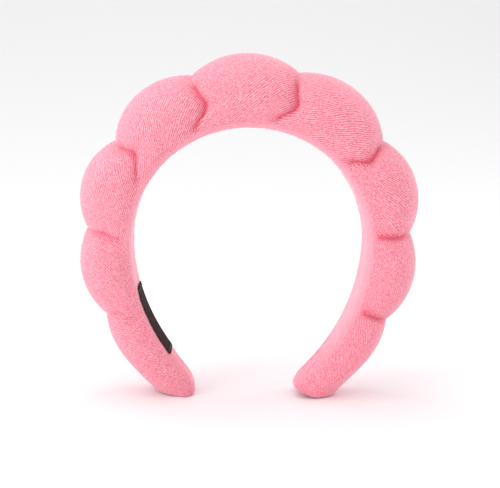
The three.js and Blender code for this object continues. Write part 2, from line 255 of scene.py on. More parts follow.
def drape(s, u, n):
    """Places band points, with the tips drawn to a seam and flattened where they rest."""
    k = closing(s)
    middle = crest_height(s) * TIP_SEAM_LEVEL
    settled, level = settle(s, n)
    points = place(settled, u * (TIP_SEAM_SHARE + (1 - TIP_SEAM_SHARE) * k), middle + (level - middle) * k)
    floor = sole(points[..., 0])
    points[..., 1] *= FOOT_SHARE + (1 - FOOT_SHARE) * smoothstep(0, FOOT_HEIGHT, points[..., 2])
    above = points[..., 2] - floor
    points[..., 2] = floor + (above + np.sqrt(above**2 + REST_SOFTNESS**2)) / 2
    return points


def even_steps(low, high, step):
    """Path lengths from just after low up to high, in a whole number of coarse cells."""
    count = int(round((high - low) / step / COARSE)) * COARSE
    return np.linspace(low, high, count + 1)[1:]


def column_stations():
    """Path lengths of the grid's columns: wider apart on the end puffs, and closest round the tips."""
    body_end = TIP_AT - TIP_ROUNDING
    turn = np.linspace(0, math.pi / 2, TIP_COLUMNS + 1)[1:]
    tip = body_end + TIP_ROUNDING * np.sin(turn) ** (2 / TIP_SQUARENESS)
    puffs = even_steps(0, MIDDLES[3], COLUMN_STEP)
    end = even_steps(MIDDLES[3], body_end, END_COLUMN_STEP)
    half = np.concatenate([puffs, end, tip])
    return np.concatenate([-half[::-1], [0], half])


def dome_turns():
    """The section's angle at each row, and a share of the hem for the rows under the lining."""
    dome = np.linspace(1, 0, DOME_ROWS)
    under = np.linspace(1, 0, HEM_ROWS + 1)[:-1]
    turn = np.concatenate([np.ones(HEM_ROWS), dome, np.zeros(HEM_ROWS)])
    return turn, np.concatenate([under, 0 * dome, under[::-1]])


def section(s, turn, hem):
    """u and n on the D-shaped section, before the grooves. turn runs from 1 at the front base corner over
    the dome to 0 at the rear one."""
    half, height, base = crest_half(s), crest_height(s), base_half(s)
    widest = height * WIDEST_SHARE
    start = np.arccos(np.clip(base / half, 0, 1))
    angle = -start + (math.pi + 2 * start) * turn
    rise = np.sin(angle)
    under = widest / np.sin(start)
    n = widest + rise * np.where(rise > 0, height - widest, under)
    u = half * np.cos(angle)
    inward = -np.sign(u) * hem * HEM_WIDTH
    return u + inward, n + HEM_LIFT * smoothstep(*HEM_TURN, hem)


# The eight grooves from the left tip to the right one: their places, which lean a little to the left near
# the crown, and their depths.
LEAN = 3 * MM
LEAN_REACH = 60 * MM
EVEN_PLACES = np.concatenate([-GROOVES[::-1], GROOVES])
GROOVE_PLACES = EVEN_PLACES - LEAN * np.exp(-((EVEN_PLACES / LEAN_REACH) ** 2))
DEPTHS = np.concatenate([GROOVE_DEPTHS[::-1], GROOVE_DEPTHS])
LAST_REACH = 45 * MM
# How a groove's crease wanders on the front: near the lining it hooks back, about halfway up it bulges
# clockwise, and at the crest it lies in the groove. On the rear it goes the other way. The shifts are at
# even heights from the lining up. Each groove has its own share of them, and its own clearness.
CREASE_TOP = 30 * MM
CREASE_SHIFTS = np.array([-6.5, -4.2, 1.2, 2.4, 1.3, 0.5, 0]) * MM
CREASE_SAMPLES = 61
CREASE_SHARES = [0.6, 0.25, 1.1, 1, 0.9, 0.7, 0.12, 0.05]
CREASE_CLEARNESS = [0.55, 0.75, 0.9, 1, 1, 1, 1, 1]
FRONT_REACH = 5 * MM
# The lobes between the grooves: the levels they start and fill out at, and their share on the sides.
LOBE_START = (0.04, 0.42)
LOBE_CREST = (0.55, 0.98)
LOBE_POWER = 2.1
SIDE_SHARE = 0.6
# The crease in a groove: sharp on one side and round on the other. It fades in above the lining and out
# towards the crest.
CREASE_DEPTH = 2.7 * MM
CREASE_ROUND = 4.6 * MM
CREASE_SHARP = 1.6 * MM
CREASE_POWER = 1.6
CREASE_START = (0, 0.14)
CREASE_CREST = (0.76, 0.99)
CREST_CREASE = 0.08


def frontness(u):
    """1 on the front, -1 on the rear and smooth between."""
    return -np.tanh(u / FRONT_REACH)


def crease_lines(u, n):
    """Where each groove's crease runs, as path lengths, for points on the section."""
    levels = np.linspace(0, 1, CREASE_SAMPLES)
    shifts = cubic_matrix(len(CREASE_SHIFTS), levels) @ CREASE_SHIFTS
    wander = frontness(u) * np.interp(n / CREASE_TOP, levels, shifts)
    return [at + share * wander for at, share in zip(GROOVE_PLACES, CREASE_SHARES)]


def grooved(s, u, n):
    """How far the surface sinks in at each point for the lobes and creases, and how near a crease is."""
    level = np.clip(n / crest_height(s), 0, 1)
    strength = SIDE_SHARE + (1 - SIDE_SHARE) * smoothstep(*LOBE_CREST, level)
    strength = smoothstep(*LOBE_START, level) * strength
    stretch = (CROWN_RADIUS + n) / CROWN_RADIUS
    front = frontness(u)
    fade = smoothstep(*CREASE_START, level) * (1 - (1 - CREST_CREASE) * smoothstep(*CREASE_CREST, level))
    gaps = np.concatenate([[LAST_REACH], np.diff(GROOVE_PLACES), [LAST_REACH]])
    sink = np.zeros_like(s + u)
    near = np.zeros_like(sink)
    for number, line in enumerate(crease_lines(u, n)):
        d = s - line
        room = np.where(d > 0, gaps[number + 1], gaps[number]) / 2
        sink += DEPTHS[number] * strength * (1 - np.clip(np.abs(d) / room, 0, 1)) ** LOBE_POWER
        width = np.where(d * front < 0, CREASE_ROUND, CREASE_SHARP)
        clearness = CREASE_CLEARNESS[number]
        crease = clearness * np.exp(-np.abs(d * stretch / width) ** CREASE_POWER) * fade
        sink += CREASE_DEPTH * crease
        near = np.maximum(near, crease)
    return sink, near


def surface_normals(points):
    """The unit normals of a grid of points."""
    along = np.gradient(points, axis=0)
    across = np.gradient(points, axis=1)
    normal = np.cross(along, across)
    length = np.linalg.norm(normal, axis=-1, keepdims=True)
    return normal / np.maximum(length, TINY)


def arc_lengths(points, axis):
    """The length from the first point to each point, along one axis of a grid."""
    steps = np.linalg.norm(np.diff(points, axis=axis), axis=-1)
    total = np.cumsum(steps, axis=axis)
    start = np.zeros_like(np.take(total, [0], axis=axis))
    return np.concatenate([start, total], axis=axis)


def cubic_matrix(count, places):
    """Catmull-Rom weights that take count evenly spaced values to places, given as shares from 0 to 1."""
    at = np.clip(np.asarray(places), 0, 1) * (count - 1)
    cell = np.minimum(at.astype(int), count - 2)
    t = at - cell
    weights = [
        -0.5 * t + t**2 - 0.5 * t**3,
        1 - 2.5 * t**2 + 1.5 * t**3,
        0.5 * t + 2 * t**2 - 1.5 * t**3,
        -0.5 * t**2 + 0.5 * t**3,
    ]
    matrix = np.zeros((len(at), count))
    rows = np.arange(len(at))
    for k, weight in enumerate(weights):
        np.add.at(matrix, (rows, np.clip(cell + k - 1, 0, count - 1)), weight)
    return matrix


def resample(grid, shape):
    """A coarse grid of values brought to a finer shape with smooth curves."""
    left = cubic_matrix(grid.shape[0], np.linspace(0, 1, shape[0]))
    right = cubic_matrix(grid.shape[1], np.linspace(0, 1, shape[1]))
    return np.einsum("ac,cr...,br->ab...", left, grid, right, optimize=True)


def smooth_noise(rng, shape, cells):
    """Noise of about unit size on a grid of the given shape, with cells (columns, rows) bumps."""
    return resample(rng.standard_normal((cells[0] + 1, cells[1] + 1)), shape)


# ---------------------------------------------------------------------------------------------------
# Terry loops
# ---------------------------------------------------------------------------------------------------

ROW_PITCH = 1.05 * MM
LOOP_PITCH = 1.0 * MM
ROW_SLANT = math.radians(40)
PILE_HEIGHT = 0.34 * MM
# What the pile's height is made of: ridges along the rows, beads for the loops, and raggedness.
RIDGE_SHARE = 0.24
BEAD_SHARE = 0.36
RAGGED_SHARE = 0.4
# How the rows and loops drift, each with the bumps that it has along the band and round the section.
ROW_DRIFT = 0.3 * MM
ROW_DRIFT_CELLS = (60, 16)
FINE_DRIFT = 0.12 * MM
FINE_DRIFT_CELLS = (420, 110)
LOOP_DRIFT = 0.35
LOOP_DRIFT_CELLS = (300, 80)
# How clearly the rows show along the band: the pile is more ruffled down the right arm. Where the rows show less,
# the terry is also darkened by painted shade, mostly down the right arm.
CLEARNESS_AT = np.array([-180, -20, 60, 120, 180]) * MM
CLEARNESS = [0.8, 1, 0.8, 0.4, 0.3]


def terry_rows(s, u, n, points):
    """Each point's place in the rows of loops: which row, and how many loops along it. Every puff has its
    own rows, which start at its middle."""
    rng = np.random.default_rng(SEED + 1)
    shape = points.shape[:2]
    around = arc_lengths(points, 1)
    around = around - around[:, [shape[1] // 2]]
    along = arc_lengths(points, 0)
    puff = sum((s > line).astype(int) for line in crease_lines(u, n))
    middles = np.concatenate([-MIDDLES[:0:-1], MIDDLES])[puff]
    columns = np.searchsorted(s[:, 0], np.unique(middles))
    starts = along[np.clip(columns, 0, shape[0] - 1)]
    along = along - np.take_along_axis(starts, puff, 0)
    drift = ROW_DRIFT * smooth_noise(rng, shape, ROW_DRIFT_CELLS)
    drift += FINE_DRIFT * smooth_noise(rng, shape, FINE_DRIFT_CELLS)
    row = (along * math.sin(ROW_SLANT) - around * math.cos(ROW_SLANT) + drift) / ROW_PITCH
    loop = (along * math.cos(ROW_SLANT) + around * math.sin(ROW_SLANT)) / LOOP_PITCH
    return row, loop + LOOP_DRIFT * smooth_noise(rng, shape, LOOP_DRIFT_CELLS)


def terry_pile(row, loop, clear):
    """The height share of the pile, from 0 between the loops to 1 on top of them."""
    rng = np.random.default_rng(SEED + 4)
    ridge = 0.5 + 0.5 * clear * np.cos(2 * math.pi * row)
    beads = 0.5 + 0.5 * np.cos(2 * math.pi * (loop + 0.5 * np.floor(row)))
    ragged = 0.5 + 0.5 * np.tanh(smooth_noise(rng, row.shape, (row.shape[0] // 2, row.shape[1] // 2)))
    return RIDGE_SHARE * ridge + BEAD_SHARE * ridge * beads + RAGGED_SHARE * ragged


# ---------------------------------------------------------------------------------------------------
# Mesh pieces
# ---------------------------------------------------------------------------------------------------


def grid_faces(columns, rows, start=0):
    """The quads of a grid whose first point has index start."""
    index = start + np.arange(columns * rows).reshape(columns, rows)
    corners = [index[:-1, :-1], index[1:, :-1], index[1:, 1:], index[:-1, 1:]]
    return np.stack([c.ravel() for c in corners], -1)


def merged_piece(name, grids, normals=None, attributes=None):
    """One mesh from grids of points, with optional vertex normals and named point values."""
    counts = np.cumsum([0] + [grid.shape[0] * grid.shape[1] for grid in grids])
    quads = np.concatenate([grid_faces(*grid.shape[:2], start) for grid, start in zip(grids, counts)])
    points = np.concatenate([grid.reshape(-1, 3) for grid in grids])
    mesh = bpy.data.meshes.new(name)
    mesh.vertices.add(len(points))
    mesh.vertices.foreach_set("co", points.ravel().astype(np.float32))
    mesh.loops.add(quads.size)
    mesh.loops.foreach_set("vertex_index", quads.ravel().astype(np.int32))
    mesh.polygons.add(len(quads))
    mesh.polygons.foreach_set("loop_start", np.arange(0, quads.size, 4, dtype=np.int32))
    for key, values in (attributes or {}).items():
        layer = mesh.attributes.new(key, "FLOAT", "POINT")
        layer.data.foreach_set("value", np.ascontiguousarray(values, np.float32).ravel())
    mesh.update(calc_edges=True)
    mesh.shade_smooth()
    if normals is not None:
        mesh.normals_split_custom_set_from_vertices(normals.reshape(-1, 3).tolist())
    piece = bpy.data.objects.new(name, mesh)
    bpy.context.scene.collection.objects.link(piece)
    return piece


def grid_piece(name, points, normals=None, attributes=None):
    """One mesh from one grid of points."""
    return merged_piece(name, [points], normals, attributes)


def arm_bodies():
    """The stretches of the band between puffs' middles: side, sign, groove number and the bodies joined."""
    for side, sign in SIDES:
        chain = ["crown"] + [f"{side}_{puff}" for puff in PUFFS]
        for number in range(len(PUFFS)):
            yield side, sign, number, chain[number], chain[number + 1]


BLEND_LEVEL = 0.4


def bend_at_groove(piece, sign, number):
    """Bakes a piece's transform into its mesh. The point of the hinge in its groove is worked out but not used."""
    at = place(sign * GROOVES[number], 0, BLEND_LEVEL * crest_height(GROOVES[number]))
    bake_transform(piece)


def finish(piece, slot, nodes):
    """Gives a piece the material of its slot and hides the CAD nodes that it stands for."""
    piece.data.materials.append(MATERIALS[slot])
    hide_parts(*nodes)


def finish_bent(piece, slot, sign, number, body, next_body, nodes):
    """Finishes a piece in a groove's stretch: bakes its transform, gives it its material and hides its CAD nodes.
    """
    bend_at_groove(piece, sign, number)
    finish(piece, slot, nodes)


def banded_pieces(prefix, stations, points, attributes, slot, stands_for):
    """Cuts a grid along the band into pieces at the puffs' middles, one for each groove's stretch, and finishes
    each.
    """
    normals = surface_normals(points)
    for side, sign, number, body, next_body in arm_bodies():
        low, high = sorted((sign * MIDDLES[number], sign * MIDDLES[number + 1]))
        first = int(np.argmin(np.abs(stations - low)))
        last = int(np.argmin(np.abs(stations - high))) + 1
        cut = slice(first, last)
        values = {key: value[cut] for key, value in attributes.items()}
        piece = grid_piece(f"{prefix}_{side}_{PUFFS[number]}", points[cut], normals[cut], values)
        finish_bent(piece, slot, sign, number, body, next_body, stands_for(side, number))


def cover_nodes(side, number):
    """The two CAD covers that meet in a groove."""
    before = "crown_cover" if number == 0 else f"{side}_{PUFFS[number - 1]}_cover"
    return [before, f"{side}_{PUFFS[number]}_cover"]


# ---------------------------------------------------------------------------------------------------
# Materials
# ---------------------------------------------------------------------------------------------------

# The mix node's sockets for colours.
MIX_FACTOR = 0
MIX_COLOURS = (6, 7)
MIX_RESULT = 2


class Nodes:
    """A material's node tree. Each call adds a node, feeds it sockets or values and gives its output."""

    def __init__(self, name):
        self.material = bpy.data.materials.new(name)
        self.material.use_nodes = True
        self.tree = self.material.node_tree
        self.shader = self.tree.nodes["Principled BSDF"]

    def add(self, kind, **values):
        node = self.tree.nodes.new(kind)
        for key, value in values.items():
            if key in node.inputs:
                node.inputs[key].default_value = value
            else:
                setattr(node, key, value)
        return node

    def feed(self, target, value):
        """Links a socket to an input, or gives the input a plain value or colour."""
        if isinstance(value, bpy.types.NodeSocket):
            self.tree.links.new(value, target)
        else:
            target.default_value = (*value, 1) if isinstance(value, tuple) else value

    def set(self, **values):
        for key, value in values.items():
            self.feed(self.shader.inputs[key.replace("_", " ")], value)

    def noise(self, scale, detail=2.0, roughness=0.5):
        node = self.add("ShaderNodeTexNoise", Scale=scale, Detail=detail, Roughness=roughness)
        self.feed(node.inputs["Vector"], self.add("ShaderNodeTexCoord").outputs["Object"])
        return node.outputs["Fac"]

    def value(self, name):
        """A point value on the mesh."""
        return self.add("ShaderNodeAttribute", attribute_name=name).outputs["Fac"]

    def math(self, operation, *terms):
        node = self.add("ShaderNodeMath", operation=operation)
        for number, term in enumerate(terms):
            self.feed(node.inputs[number], term)
        return node.outputs["Value"]

    def wave(self, cycles, share=1.0):
        """A cosine from 0 to 1 that is highest at whole cycles. A share below 1 flattens it."""
        cosine = self.math("COSINE", self.math("MULTIPLY", cycles, 2 * math.pi))
        return self.math("MULTIPLY_ADD", self.math("MULTIPLY", cosine, share), 0.5, 0.5)

    def ramp(self, source, stops):
        """A colour from a socket's value, through stops of a position and a colour."""
        node = self.add("ShaderNodeValToRGB")
        elements = node.color_ramp.elements
        while len(elements) < len(stops):
            elements.new(0.5)
        for element, (position, color) in zip(elements, stops):
            element.position = position
            element.color = (*color, 1)
        self.feed(node.inputs["Fac"], source)
        return node.outputs["Color"]

    def mix(self, blend_type, factor, first, second):
        """Mixes two colours."""
        node = self.add("ShaderNodeMix", data_type="RGBA", blend_type=blend_type)
        self.feed(node.inputs[MIX_FACTOR], factor)
        for number, colour in zip(MIX_COLOURS, (first, second)):
            self.feed(node.inputs[number], colour)
        return node.outputs[MIX_RESULT]

    def bump(self, source, strength, distance):
        node = self.add("ShaderNodeBump", Strength=strength, Distance=distance)
        self.feed(node.inputs["Height"], source)
        self.feed(self.shader.inputs["Normal"], node.outputs["Normal"])


# Colours, ramps of a position and a colour, and noises as a scale, a detail and a roughness.
LINING_TONE = (0.975, 0.44, 0.53)
LINING_DARK = tuple(0.93 * part for part in LINING_TONE)
# The terry's tones run from dark low in the pile to pale on the loop tops: the dark ones are painted shade between
# the loops.
TERRY_PILE_SHADE_TONES = [(0.15, (0.81, 0.15, 0.23)), (0.4, (0.95, 0.32, 0.41)), (0.67, (0.99, 0.57, 0.65))]
PATCH_TONES = [(0.3, (0.93, 0.90, 0.90)), (0.7, (1.0, 1.0, 1.0))]
PATCH_NOISE = (26, 3, 0.6)
# Painted shade where the rows show less, mostly down the right arm, where less light falls.
PAINTED_SHADE_TINT = (0.99, 0.86, 0.89)
# Painted shade in the creases: the colour the terry is multiplied by there, and how closely it gathers to the
# crease line.
CREASE_PAINTED_SHADE = (0.88, 0.42, 0.51)
CREASE_PAINTED_SHADE_POWER = 2.8
RAGGED_NOISE = (1150, 1.5, 0.5)
FIBRE_NOISE = (2600, 2, 0.6)
NAP_NOISE = (420, 3, 0.65)
# The pile at the lining's tips: its range and its lowest value.
TIP_PILE = (0.6, 0.13)


def terry_material():
    """Loops from the mesh's rows: paler where they stand high and darker low between them, which is painted shade,
    with painted shade in the creases and where the rows show less, and the lining's tone with partly painted light
    near the lining.
    """
    m = Nodes("terry")
    row = m.value("row")
    ridge = m.wave(row, m.value("clear"))
    beads = m.wave(m.math("MULTIPLY_ADD", m.math("FLOOR", row), 0.5, m.value("loop")))
    lines = m.math("MULTIPLY", ridge, m.math("MULTIPLY_ADD", beads, BEAD_SHARE, RIDGE_SHARE))
    base = m.math("ADD", lines, -RAGGED_SHARE / 2)
    pile = m.math("MULTIPLY_ADD", m.noise(*RAGGED_NOISE), 2 * RAGGED_SHARE, base)
    patches = m.ramp(m.noise(*PATCH_NOISE), PATCH_TONES)
    # Colour from the pile's height: darker low between the loops, as painted shade.
    patched = m.mix("MULTIPLY", 1.0, m.ramp(pile, TERRY_PILE_SHADE_TONES), patches)
    # Painted shade where the rows show less, mostly down the right arm.
    shade_toned = m.mix("MULTIPLY", m.math("SUBTRACT", 1.0, m.value("clear")), patched, PAINTED_SHADE_TINT)
    # Painted shade in the creases, from how near a crease is.
    fold = m.math("POWER", m.value("crease"), CREASE_PAINTED_SHADE_POWER)
    deep = m.mix("MULTIPLY", fold, shade_toned, CREASE_PAINTED_SHADE)
    # Near the lining the terry takes the lining's tone, partly its own colour and partly painted light.
    m.set(Base_Color=m.mix("MIX", m.value("rim"), deep, LINING_TONE))
    m.set(Roughness=0.92, Sheen_Weight=0.9, Sheen_Roughness=0.4, Specular_IOR_Level=0.1)
    m.set(Sheen_Tint=(1.0, 0.84, 0.89), Subsurface_Weight=0.12, Subsurface_Scale=0.002)
    m.shader.inputs["Subsurface Radius"].default_value = (1.0, 0.35, 0.4)
    m.bump(m.noise(*FIBRE_NOISE), strength=0.35, distance=0.0003)
    return m.material


def lining_material():
    """Short plush, which turns into ruffled loops at the tips."""
    m = Nodes("lining_plush")
    nap = m.noise(*NAP_NOISE)
    plush = m.ramp(nap, [(0.3, LINING_DARK), (0.7, LINING_TONE)])
    # The tip loops take the terry's tones from noise, the dark ones as painted shade between loops.
    loops = m.ramp(m.math("MULTIPLY_ADD", m.noise(*RAGGED_NOISE), *TIP_PILE), TERRY_PILE_SHADE_TONES)
    m.set(Base_Color=m.mix("MIX", m.value("tip"), plush, loops))
    m.set(Roughness=0.85, Sheen_Weight=0.8, Sheen_Roughness=0.35, Specular_IOR_Level=0.15)
    m.set(Sheen_Tint=(1.0, 0.82, 0.87), Subsurface_Weight=0.15, Subsurface_Scale=0.002)
    m.bump(nap, strength=0.3, distance=0.0003)
    return m.material


def simple_material(name, dark, light, scale, roughness, bump, distance, specular=0.5):
    """A two-tone mottled material with a fine bump."""
    m = Nodes(name)
    grain = m.noise(scale, 4, 0.6)
    m.set(Base_Color=m.ramp(grain, [(0.35, dark), (0.65, light)]))
    m.set(Roughness=roughness, Specular_IOR_Level=specular)
    m.bump(grain, bump, distance)
    return m.material


# The plain materials: dark tone, light tone, grain scale, roughness, and the bump's strength and distance.
SIMPLE = {
    "foam": ((0.72, 0.66, 0.52), (0.9, 0.86, 0.74), 900, 0.95, 0.8, 0.0006),
    "hoop_plastic": ((0.78, 0.78, 0.75), (0.84, 0.84, 0.81), 60, 0.38, 0.1, 0.0001),
    "tape_foam": ((0.62, 0.61, 0.58), (0.74, 0.73, 0.70), 1400, 0.9, 0.5, 0.0003),
    "guard_rubber": ((0.66, 0.66, 0.62), (0.72, 0.72, 0.68), 300, 0.6, 0.2, 0.0001),
    "thread": ((0.82, 0.2, 0.29), (0.92, 0.34, 0.43), 2200, 0.7, 0.6, 0.0002),
    "label": ((0.022, 0.011, 0.01), (0.045, 0.025, 0.023), 1800, 0.85, 0.5, 0.0002, 0.1),
    "label_thread": ((0.07, 0.05, 0.05), (0.12, 0.09, 0.09), 2200, 0.7, 0.5, 0.0002),
}
MATERIALS = {"terry": terry_material(), "lining": lining_material()}
MATERIALS.update({slot: simple_material(slot, *values) for slot, values in SIMPLE.items()})

# ---------------------------------------------------------------------------------------------------
# The sleeve
# ---------------------------------------------------------------------------------------------------

# The simulation runs on a pattern that is CLOTH_SCALE times larger and a little inside the form. How far it
# moves the points is held to a cap.
PRESSURE = 5
CLOTH_FRAMES = 20
CLOTH_SCALE = 20
CLOTH_CAP = 2.5 * MM
CLOTH_INSET = 0.3 * MM
# It is pinned close to the creases, in the hems and at the tips, and its effect grows away from them.
PIN_REACH = 1.2 * MM
PIN_CLOSING = 0.9
FREE_GAP = 6 * MM
FREE_HEIGHT = 5 * MM
FREE_CLOSING = 0.3


def swell(points, pinned):
    """How far a cloth simulation under pressure moves each point of a grid, with the pinned points held."""
    moved = np.zeros_like(points)
    scene = bpy.context.scene
    piece = grid_piece("sleeve_pattern", points * CLOTH_SCALE)
    piece.vertex_groups.new(name="pins").add(np.flatnonzero(pinned).tolist(), 1, "REPLACE")
    cloth = piece.modifiers.new("cloth", "CLOTH")
    cloth.settings.vertex_group_mass = "pins"
    cloth.settings.use_pressure = True
    cloth.settings.uniform_pressure_force = PRESSURE
    cloth.settings.effector_weights.gravity = 0
    cloth.collision_settings.use_collision = False
    cloth.point_cache.frame_start = 1
    cloth.point_cache.frame_end = CLOTH_FRAMES
    for number in range(1, CLOTH_FRAMES + 1):
        scene.frame_set(number)
    mesh = piece.evaluated_get(bpy.context.evaluated_depsgraph_get()).to_mesh()
    co = np.zeros(points.size)
    mesh.vertices.foreach_get("co", co)
    moved = co.reshape(points.shape) / CLOTH_SCALE - points
    bpy.data.objects.remove(piece)
    scene.frame_set(1)
    length = np.linalg.norm(moved, axis=-1, keepdims=True)
    return moved * np.minimum(1, CLOTH_CAP / np.maximum(length, TINY))


def sleeve_form():
    """The sleeve's smooth surface as a grid, with the band coordinates it was made from."""
    stations = column_stations()
    turn, hem = dome_turns()
    s, turn_grid = np.meshgrid(stations, turn, indexing="ij")
    u, n = section(s, turn_grid, hem[None, :])
    envelope = drape(s, u, n)
    sink, near = grooved(s, u, n)
    soft = envelope - surface_normals(envelope) * (sink * closing(s))[..., None]

    coarse = (slice(None, None, COARSE), slice(None, None, COARSE))
    gap = np.min([np.abs(s - line) for line in crease_lines(u, n)], axis=0)
    pinned = (gap < PIN_REACH) | (hem[None, :] > 0) | (closing(s) < PIN_CLOSING)
    start = (soft - surface_normals(soft) * CLOTH_INSET)[coarse]
    moved = swell(start, pinned[coarse])
    if moved.any():
        free = smoothstep(0, FREE_GAP, gap) * smoothstep(0, FREE_HEIGHT, n)
        free *= smoothstep(FREE_CLOSING, 1, closing(s))
        inset = surface_normals(soft) * CLOTH_INSET
        soft = soft + (resample(moved, s.shape) - inset) * free[..., None]
    return s, u, n, hem, soft, near


# The terry just above the lining takes the lining's tone, which is partly the lining's own colour at the seam and
# partly painted light that widens the lighter strip on the inner faces: the heights it fades between, and its
# share.
RIM_HEIGHT = (0.5 * MM, 3.1 * MM)
RIM_AT = np.array([-180, -120, -85, 0, 110, 150, 180]) * MM
RIM_TONE_AND_LIGHT_SHARES = [0, 0.1, 0.6, 0.7, 0.7, 0.5, 0]


def build_sleeve(form):
    """The terry sleeve: the smooth form with the pile's relief."""
    s, u, n, hem, soft, near = form
    normals = surface_normals(soft)
    row, loop = terry_rows(s, u, n, drape(s, u, n))
    clear = np.interp(s, CLEARNESS_AT, CLEARNESS)
    pile = terry_pile(row, loop, clear)
    # The rim share: the lining's tone near the seam, partly the lining's own colour and partly painted light.
    rim = np.interp(s, RIM_AT, RIM_TONE_AND_LIGHT_SHARES) * (1 - smoothstep(*RIM_HEIGHT, n))
    fuzz = 1 - smoothstep(*HEM_TURN, hem)
    points = soft + normals * (PILE_HEIGHT * (pile - 0.5) * fuzz)[..., None]
    points[..., 2] = np.maximum(points[..., 2], GROUND_GAP)
    # The crease value drives painted shade in the creases, and rim the lining's tone with partly painted light.
    values = {"row": row, "loop": loop, "clear": clear, "crease": near, "rim": rim}
    banded_pieces("terry_sleeve", s[:, 0], points, values, "terry", cover_nodes)


# ---------------------------------------------------------------------------------------------------
# The lining, its seams and the label
# ---------------------------------------------------------------------------------------------------

LINING_SAG = 0.4 * MM
LINING_ROWS = 44
LINING_STRIDE = 3
LINING_WAVE = 0.12 * MM
LINING_WAVE_CELLS = (90, 12)
# The lining's nap, which is larger at the tips, where it turns into loops between two path lengths.
NAP_HEIGHT = 0.05 * MM
TIP_NAP_HEIGHT = 0.15 * MM
TIP_TONE_AT = (140 * MM, 165 * MM)
# The lining's section: the share of the base's half depth that is flat, and then its edge, to where it
# dives under the turned-in terry. The edge's points are how far in from the base corner it lies and its
# height, both in mm.
LINING_FLAT = 0.45
LINING_EDGE = [(5, -0.36), (3, -0.2), (2.1, 0.1), (1.8, 0.6)]


def lining_profile(s):
    """Half of the lining's section, from the middle to where its edge dives into the sleeve."""
    base = base_half(s)
    corners = [(0 * base, -LINING_SAG), (LINING_FLAT * base, -LINING_SAG)]
    corners += [(base - inset * MM, level * MM) for inset, level in LINING_EDGE]
    u = np.stack([corner[0] for corner in corners], -1)
    n = np.stack([corner[1] + 0 * s for corner in corners], -1)
    rows = cubic_matrix(len(corners), np.linspace(0, 1, LINING_ROWS))
    return u @ rows.T, n @ rows.T


def build_lining():
    """The smooth strip along the inner face."""
    stations = column_stations()[::LINING_STRIDE]
    u, n = lining_profile(stations)
    u = np.concatenate([u[:, ::-1], -u[:, 1:]], 1)
    n = np.concatenate([n[:, ::-1], n[:, 1:]], 1)
    rng = np.random.default_rng(SEED + 2)
    tip = smoothstep(*TIP_TONE_AT, np.abs(stations))[:, None] + 0 * u
    nap = NAP_HEIGHT + (TIP_NAP_HEIGHT - NAP_HEIGHT) * tip
    nap = nap * smooth_noise(rng, u.shape, (len(stations) // 2, u.shape[1] // 2))
    nap += LINING_WAVE * smooth_noise(rng, u.shape, LINING_WAVE_CELLS)
    points = drape(stations[:, None], u, n + nap)
    points[..., 2] = np.maximum(points[..., 2], GROUND_GAP)
    banded_pieces("lining", stations, points, {"tip": tip}, "lining", lambda *stretch: ["lining_strip"])


BAR_ROWS = 28
BAR_SQUARENESS = 4
BAR_ENDS = [0, 0.72, 0.93]


def bar_grid(stations, half, floor, top, sag=None):
    """A closed bar along the band with a rounded box section and rounded ends."""
    turn = np.linspace(0, 2 * math.pi, BAR_ROWS + 1)
    across = np.sign(np.cos(turn)) * np.abs(np.cos(turn)) ** (2 / BAR_SQUARENESS)
    up = np.sign(np.sin(turn)) * np.abs(np.sin(turn)) ** (2 / BAR_SQUARENESS)
    size = np.ones(len(stations))
    size[: len(BAR_ENDS)] = BAR_ENDS
    size[-len(BAR_ENDS) :] = BAR_ENDS[::-1]
    s = stations[:, None] + 0 * across
    u = np.broadcast_to(half, stations.shape)[:, None] * across * size[:, None]
    n = (floor + top) / 2 + (top - floor) / 2 * up * size[:, None]
    return place(s, -u, n if sag is None else n + sag(s, u))


CORD_ROWS = 12
CORD_STRANDS = 3
CORD_TWIST = 1.6 * MM
CORD_LOBE = 0.22


def cord_grid(path, side, radius):
    """A twisted thread along a path of points. side points away from the path, roughly square to it."""
    along = np.gradient(path, axis=0)
    along /= np.linalg.norm(along, axis=1, keepdims=True)
    first = np.cross(along, side)
    first /= np.linalg.norm(first, axis=1, keepdims=True)
    second = np.cross(along, first)
    length = arc_lengths(path, 0)
    turn = np.linspace(0, 2 * math.pi, CORD_ROWS + 1)[None, :]
    lobes = 1 + CORD_LOBE * np.cos(CORD_STRANDS * turn - 2 * math.pi * length[:, None] / CORD_TWIST)
    reach = radius * lobes
    reach[[0, -1]] = 0
    ring = first[:, None] * np.cos(turn)[..., None] + second[:, None] * np.sin(turn)[..., None]
    return path[:, None] + ring * reach[..., None]


SEAM_INSET = 2.6 * MM
SEAM_LEVEL = 0.45 * MM
SEAM_STEP = 0.6 * MM
SEAM_PROBE = 5 * MM
THREAD_RADIUS = 0.25 * MM


def build_seams():
    """The two long seams that join the lining to the sleeve."""
    stations = np.arange(-TIP_AT + TIP_ROUNDING, TIP_AT - TIP_ROUNDING, SEAM_STEP)
    for name, sign in (("front", -1), ("rear", 1)):
        path = drape(stations, sign * (base_half(stations) - SEAM_INSET), SEAM_LEVEL)
        upward = drape(stations, 0 * stations, SEAM_PROBE) - drape(stations, 0 * stations, 0)
        grid = cord_grid(path, upward, THREAD_RADIUS)
        seam = f"lining_seam_{name}"
        banded_pieces(f"seam_thread_{name}", stations, grid, {}, "thread", lambda *stretch: [seam])


END_SEAM_AT = float(np.abs(node_band("right_end_seam")[0]).mean())
END_SEAM_HALF = float(np.abs(node_band("right_end_seam")[1]).max())
END_SEAM_LEVEL = 0.8 * MM
END_SEAM_POINTS = 40


